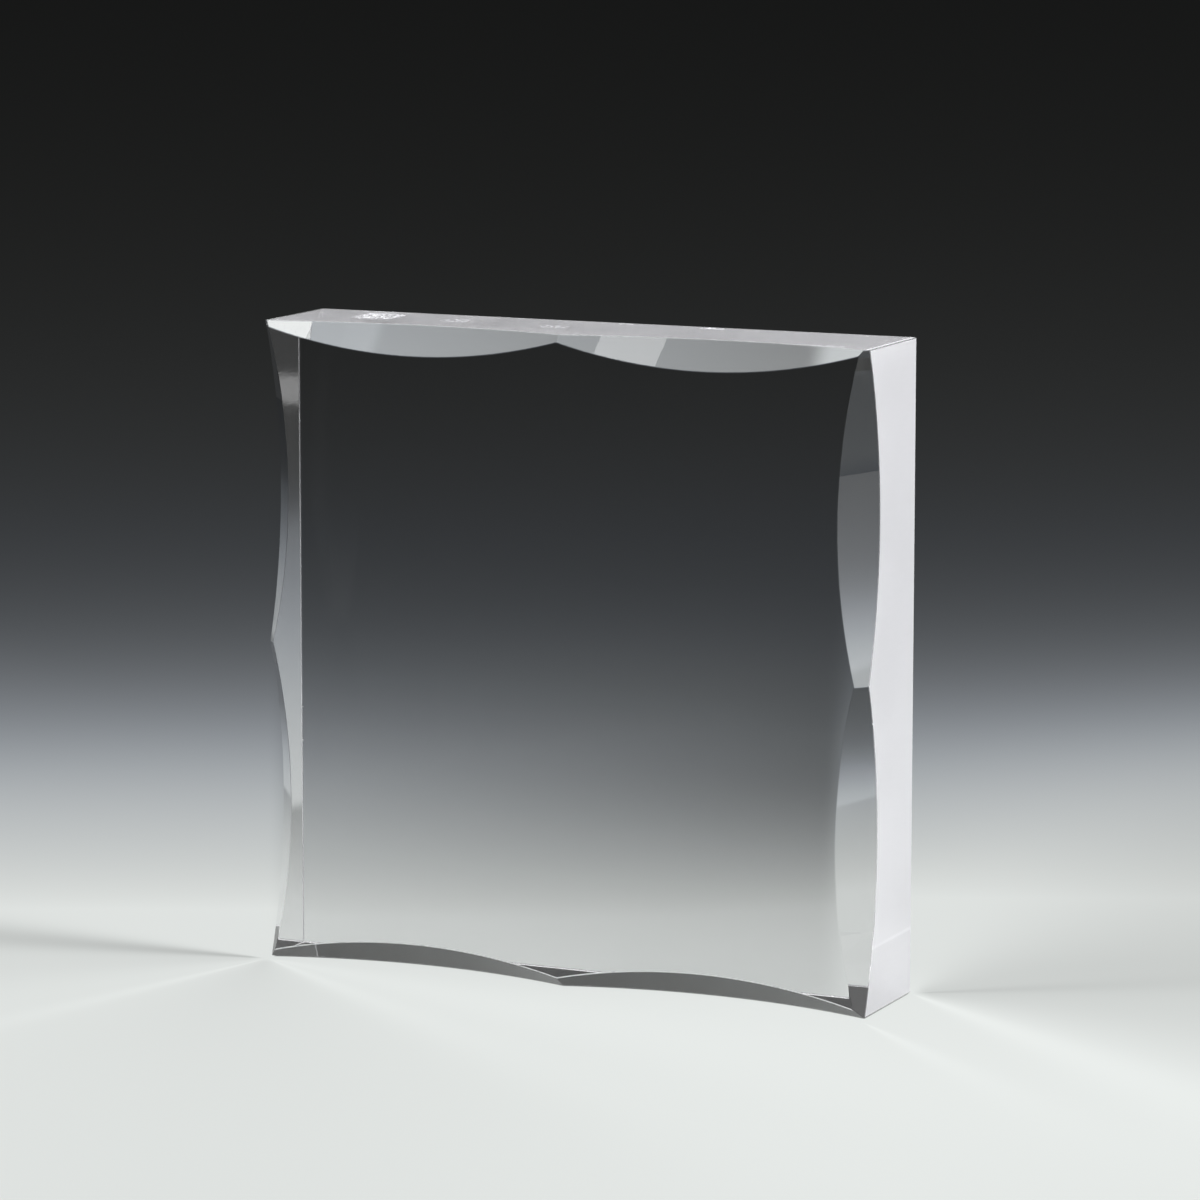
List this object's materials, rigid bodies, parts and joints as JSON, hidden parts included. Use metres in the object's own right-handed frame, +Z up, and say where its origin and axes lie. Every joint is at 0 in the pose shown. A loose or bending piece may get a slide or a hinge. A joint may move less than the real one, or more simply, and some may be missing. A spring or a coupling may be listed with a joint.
{
  "type": "crystal block award",
  "caption": "Free-standing square block of clear crystal with shallow scoops ground along the edges of its front face.",
  "frame": {"origin": "middle of the resting face, halfway through the thickness", "axes": "+X along the width, -Y out of the engravable front face, +Z up"},
  "size_m": [0.127, 0.0254, 0.127],
  "materials": {
    "clear_crystal": "polished"
  },
  "bodies": {
    "root": {"crystal_block": "clear_crystal"}
  },
  "joints": []
}
